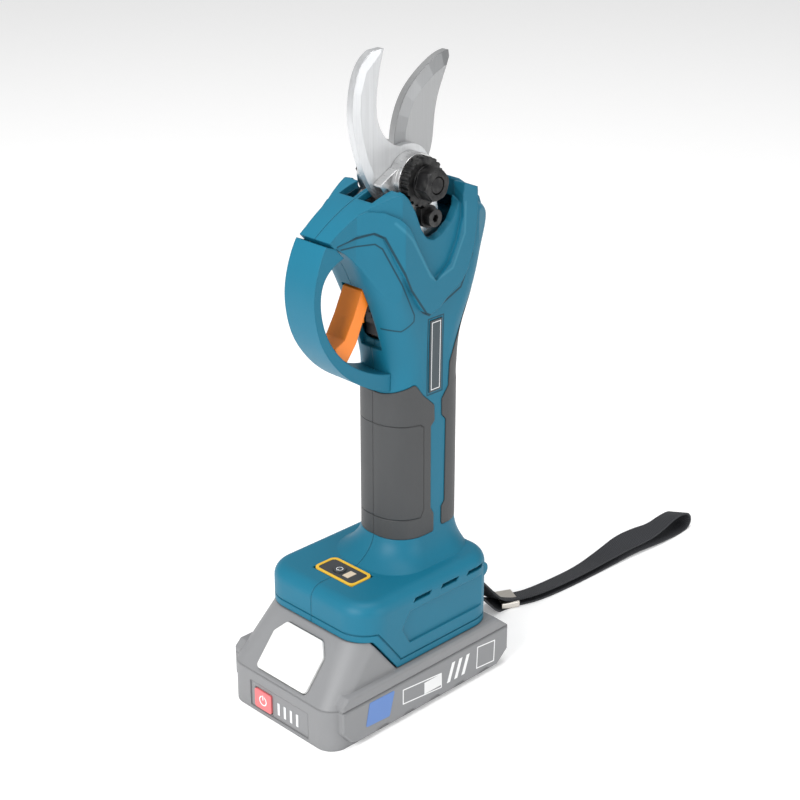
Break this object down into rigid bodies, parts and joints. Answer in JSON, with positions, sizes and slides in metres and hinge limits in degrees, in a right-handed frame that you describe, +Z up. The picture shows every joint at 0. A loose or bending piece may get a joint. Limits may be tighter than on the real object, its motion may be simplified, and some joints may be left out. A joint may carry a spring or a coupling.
{
  "type": "battery electric pruner",
  "caption": "Hand-held battery electric pruner with hooked counter blade, driven cutting blade, finger guard, slide-on battery and wrist strap.",
  "frame": {"origin": "middle of the battery's underside, on the surface it stands on", "axes": "+Z up along the handle towards the blades, -X towards the trigger and guard, Y across the tool (its plane of symmetry is XZ)"},
  "size_m": [0.2935, 0.0764, 0.3073],
  "materials": {
    "black_plastic": "matte",
    "black_steel": "black oxide",
    "blue": "satin",
    "board": "matte",
    "cast": "satin",
    "cell": "satin",
    "copper": "bare",
    "grip": "matte",
    "light": "satin",
    "nickel": "satin",
    "orange": "satin",
    "pack_grey": "matte",
    "panel_dark": "satin",
    "red": "satin",
    "steel": "brushed",
    "teal": "matte",
    "webbing": "woven",
    "white": "satin",
    "window": "satin",
    "yellow": "satin",
    "zinc": "satin"
  },
  "bodies": {
    "tool": {"shell_right": "teal", "shell_left": "teal", "finger_guard": "teal", "back_cover": "teal", "front_grip_right": "grip", "front_grip_left": "grip", "rear_grip_right": "grip", "rear_grip_left": "grip", "name_plate_right": "panel_dark", "name_plate_left": "panel_dark", "housing_screws": "zinc", "head_frame": "cast", "fixed_blade": "steel", "blade_pin": "zinc", "pivot_bolt": "black_steel", "lock_gear": "black_steel", "pivot_nut": "black_steel", "lock_tab": "black_steel", "lock_screw": "black_steel", "pinion_bearing": "zinc", "gearbox_case": "zinc", "motor_can": "zinc", "motor_stator": "copper", "trigger_pin": "zinc", "switch_board": "black_plastic", "controller_board": "board", "panel_plate": "panel_dark", "panel_border": "yellow", "led_window": "window", "display_board": "board", "terminal_block": "black_plastic", "terminal_blades": "copper", "strap_pin": "zinc", "strap_webbing": "webbing", "strap_crimp": "nickel"},
    "cutter": {"moving_blade": "steel", "sector_gear": "zinc", "gear_screws": "zinc"},
    "pinion": {"bevel_pinion": "zinc"},
    "rotor": {"motor_rotor": "zinc"},
    "trigger": {"trigger": "orange"},
    "power_switch": {"power_button": "panel_dark"},
    "battery": {"battery_tray": "pack_grey", "battery_cover": "pack_grey", "battery_cells": "cell", "battery_board": "board", "battery_contacts": "copper", "gauge_panel": "pack_grey", "gauge_lights": "light", "side_labels": "blue"},
    "latch": {"battery_latch": "white"},
    "gauge_switch": {"gauge_button": "red"}
  },
  "joints": [
    {"name": "blade_pivot", "type": "hinge", "parent": "tool", "child": "cutter", "pos_m": [0.0155, 0, 0.249], "axis": [0, -1, 0], "range_deg": [0, 48]},
    {"name": "pinion_spin", "type": "hinge", "parent": "tool", "child": "pinion", "pos_m": [0.0155, 0, 0.22], "axis": [0, 0, -1], "range_deg": [0, 192]},
    {"name": "rotor_spin", "type": "hinge", "parent": "tool", "child": "rotor", "pos_m": [0.0155, 0, 0.124], "axis": [0, 0, 1], "continuous": true},
    {"name": "trigger_pull", "type": "hinge", "parent": "tool", "child": "trigger", "pos_m": [-0.0075, 0, 0.2075], "axis": [0, -1, 0], "range_deg": [0, 14], "stiffness_Nm_per_rad": 0.4, "springref_deg": -11.46},
    {"name": "power_button_press", "type": "slide", "parent": "tool", "child": "power_switch", "axis": [0, 0, -1], "range_m": [0, 0.0004], "stiffness_N_per_m": 1500, "springref_m": -0.0004},
    {"name": "battery_slide", "type": "slide", "parent": "tool", "child": "battery", "axis": [-1, 0, 0], "range_m": [0, 0.13]},
    {"name": "battery_latch_press", "type": "slide", "parent": "battery", "child": "latch", "axis": [0.7733, 0, -0.6341], "range_m": [0, 0.0015], "stiffness_N_per_m": 1500, "springref_m": -0.001},
    {"name": "gauge_button_press", "type": "slide", "parent": "battery", "child": "gauge_switch", "axis": [1, 0, 0], "range_m": [0, 0.0005], "stiffness_N_per_m": 1500, "springref_m": -0.0005}
  ],
  "couplings": [
    {"joint": "pinion_spin", "follows": "blade_pivot", "ratio": 4}
  ]
}
